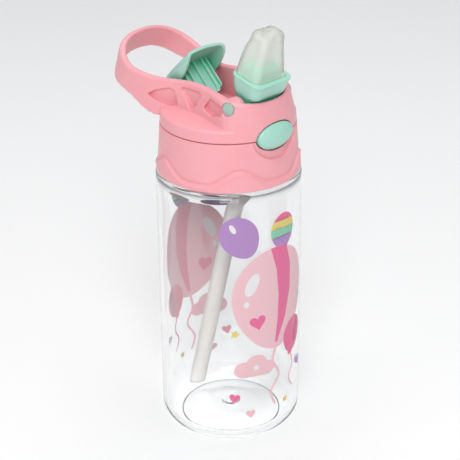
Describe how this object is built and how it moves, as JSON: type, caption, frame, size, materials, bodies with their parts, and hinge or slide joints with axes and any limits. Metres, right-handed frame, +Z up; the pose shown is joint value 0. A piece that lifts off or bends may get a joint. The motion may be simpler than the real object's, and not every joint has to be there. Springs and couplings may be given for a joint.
{
  "type": "kids water bottle",
  "caption": "Clear cylindrical kids water bottle with a screw-on lid, carry loop, folding straw spout with a soft mouthpiece, flip cover and push button.",
  "frame": {"origin": "centre of the base ring, on the surface the bottle stands on", "axes": "+Z up along the bottle's axis, -Y towards the release button, +Y towards the carry loop"},
  "size_m": [0.072, 0.101, 0.2165],
  "materials": {
    "clear_copolyester": "crystal clear, polished",
    "pink_plastic": "satin moulded light pink",
    "mint_plastic": "satin moulded mint green",
    "white_plastic": "satin moulded white",
    "pin_plastic": "satin moulded mint",
    "white_silicone": "soft matt silicone",
    "clear_silicone": "translucent soft silicone",
    "frosted_plastic": "frosted translucent tube",
    "steel": "bright drawn wire and pin"
  },
  "bodies": {
    "bottle": {"bottle_body": "clear_copolyester"},
    "gasket": {"neck_gasket": "white_silicone"},
    "lid": {"lid_collar": "pink_plastic", "lid_housing": "pink_plastic", "lid_core": "white_plastic", "spout_seat": "white_silicone", "vent_valve": "white_silicone", "straw": "frosted_plastic", "cover_pin": "steel", "cover_spring": "steel", "button_spring_right": "steel", "button_spring_left": "steel", "spout_spring": "steel"},
    "spout_pins": {"spout_pin_left": "pin_plastic", "spout_pin_right": "pin_plastic"},
    "spout": {"spout_base": "mint_plastic", "mouthpiece": "clear_silicone"},
    "cover": {"flip_cover": "mint_plastic"},
    "button": {"release_button": "mint_plastic", "latch_slider": "white_plastic"}
  },
  "joints": [
    {"name": "lid_lift", "type": "slide", "parent": "bottle", "child": "gasket", "axis": [0, 0, 1], "range_m": [0, 0.01]},
    {"name": "lid_turn", "type": "hinge", "parent": "gasket", "child": "lid", "pos_m": [0, 0, 0.15], "axis": [0, 0, 1], "range_deg": [0, 720]},
    {"name": "spout_fold", "type": "hinge", "parent": "lid", "child": "spout_pins", "pos_m": [0, -0.0198, 0.181], "axis": [-1, 0, 0], "range_deg": [0, 90], "stiffness_Nm_per_rad": 0.02, "springref_deg": -28.65},
    {"name": "spout_press", "type": "hinge", "parent": "spout_pins", "child": "spout", "pos_m": [0, -0.0198, 0.181], "axis": [-1, 0, 0], "range_deg": [0, 18], "stiffness_Nm_per_rad": 0.05, "springref_deg": -11.46},
    {"name": "cover_hinge", "type": "hinge", "parent": "lid", "child": "cover", "pos_m": [0, 0.0264, 0.18], "axis": [1, 0, 0], "range_deg": [0, 45]},
    {"name": "button_push", "type": "slide", "parent": "lid", "child": "button", "axis": [0, 1, 0], "range_m": [0, 0.0018], "stiffness_N_per_m": 400, "springref_m": -0.002, "deforming": ["button_spring_right", "button_spring_left"]}
  ],
  "couplings": [
    {"joint": "lid_turn", "follows": "lid_lift", "rad_per_m": 1256.6},
    {"joint": "cover_hinge", "follows": "spout_press", "ratio": 2.5}
  ]
}
